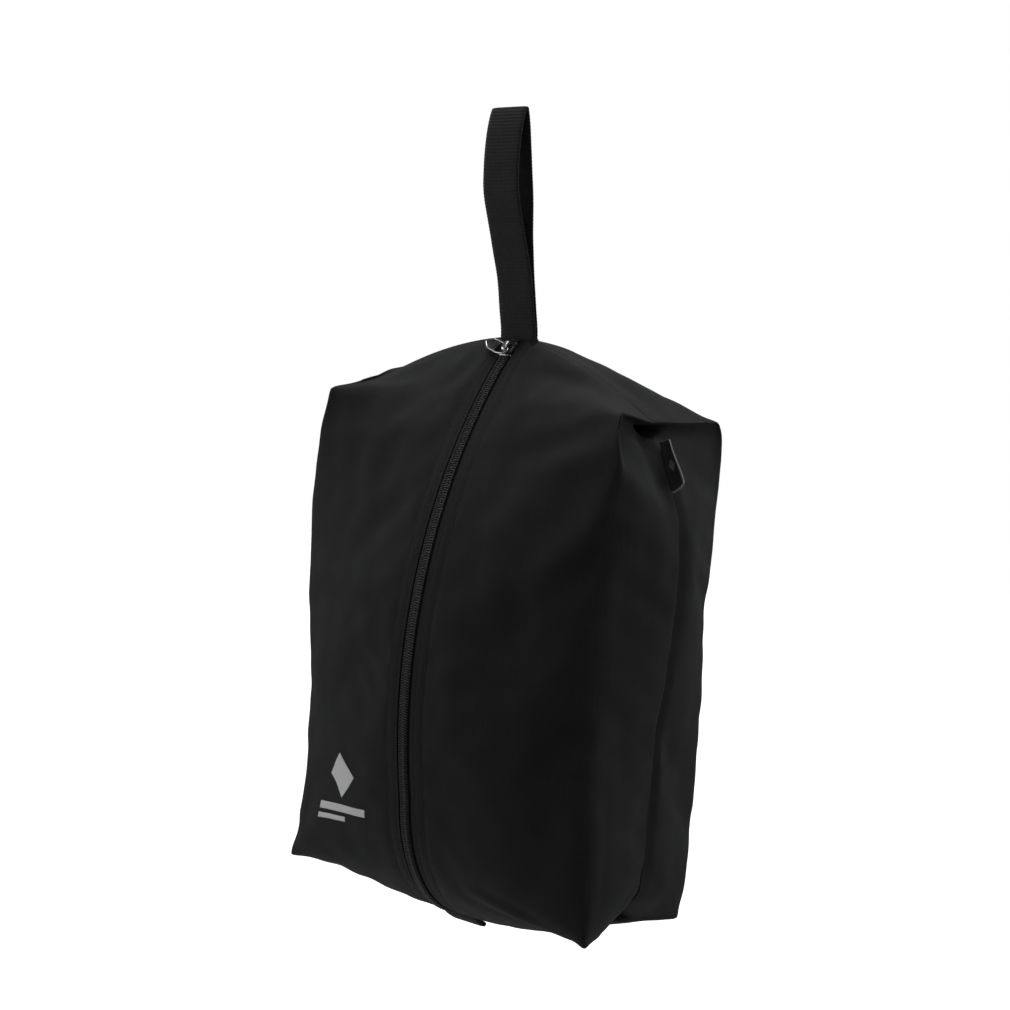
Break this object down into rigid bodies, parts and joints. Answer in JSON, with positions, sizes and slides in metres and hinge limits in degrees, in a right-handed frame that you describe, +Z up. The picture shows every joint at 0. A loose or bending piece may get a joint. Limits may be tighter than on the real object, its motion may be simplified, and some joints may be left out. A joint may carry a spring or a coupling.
{
  "type": "shoe bag",
  "caption": "Soft zip pouch for shoes, hung from a webbing loop: tucked sides, ridged top and bottom, and a curved zip down the middle of the front.",
  "frame": {"origin": "the point inside the top fold of the handle loop that the bag hangs from", "axes": "+Z up the bag to the handle, -Y to the zip side, +X to the labelled side, along the ridge seams"},
  "size_m": [0.2373, 0.1445, 0.4666],
  "materials": {
    "cloth": "matt plain weave, black",
    "zip_tape": "matt herringbone tape, black",
    "zip_coil": "satin wound monofilament, black",
    "thread": "twisted sewing thread, black",
    "slider_lacquer": "gloss black lacquer, worn bright at the edges",
    "bright_metal": "bright nickel",
    "dark_metal": "dark nickel",
    "puller_insert": "dark gloss",
    "webbing": "ribbed webbing, black",
    "label": "fine woven satin with pale edges",
    "binding": "matt binding tape, black",
    "print": "matt white print film"
  },
  "bodies": {
    "handle": {"handle_webbing": "webbing"},
    "bag": {"front_left_panel": "cloth", "front_right_panel": "cloth", "back_panel": "cloth", "zip_tape_left": "zip_tape", "zip_tape_right": "zip_tape", "zip_coil_left": "zip_coil", "zip_coil_right": "zip_coil", "zip_edge_stitch_left": "thread", "zip_edge_stitch_right": "thread", "zip_outer_stitch_left": "thread", "zip_outer_stitch_right": "thread", "top_seam_binding": "binding", "bottom_seam_binding": "binding", "left_side_binding": "binding", "right_side_binding": "binding", "printed_mark": "print"},
    "slider": {"slider_body": "slider_lacquer", "slider_bridge": "bright_metal"},
    "puller": {"puller_frame": "dark_metal", "puller_insert": "puller_insert"},
    "tab": {"bottom_tab": "webbing"},
    "label": {"side_label": "label"}
  },
  "joints": [
    {"name": "bag_swing", "type": "hinge", "parent": "handle", "child": "bag", "pos_m": [0, 0.0248, -0.122], "axis": [1, 0, 0], "range_deg": [-70, 105]},
    {"name": "zip_travel", "type": "hinge", "parent": "bag", "child": "slider", "pos_m": [0, 0.2502, -0.3174], "axis": [1, 0, 0], "range_deg": [0, 50]},
    {"name": "puller_swivel", "type": "hinge", "parent": "slider", "child": "puller", "pos_m": [0, 0.01463, -0.13469], "axis": [0, -0.7832, 0.6218], "range_deg": [0, 224]},
    {"name": "tab_flap", "type": "hinge", "parent": "bag", "child": "tab", "pos_m": [0, 0.0183, -0.459], "axis": [1, 0, 0], "range_deg": [-125, 22], "stiffness_Nm_per_rad": 0.0002},
    {"name": "label_flap", "type": "hinge", "parent": "bag", "child": "label", "pos_m": [0.10502, 0.0318, -0.18954], "axis": [-0.3714, 0, 0.9285], "range_deg": [-70, 70], "stiffness_Nm_per_rad": 0.0001}
  ]
}
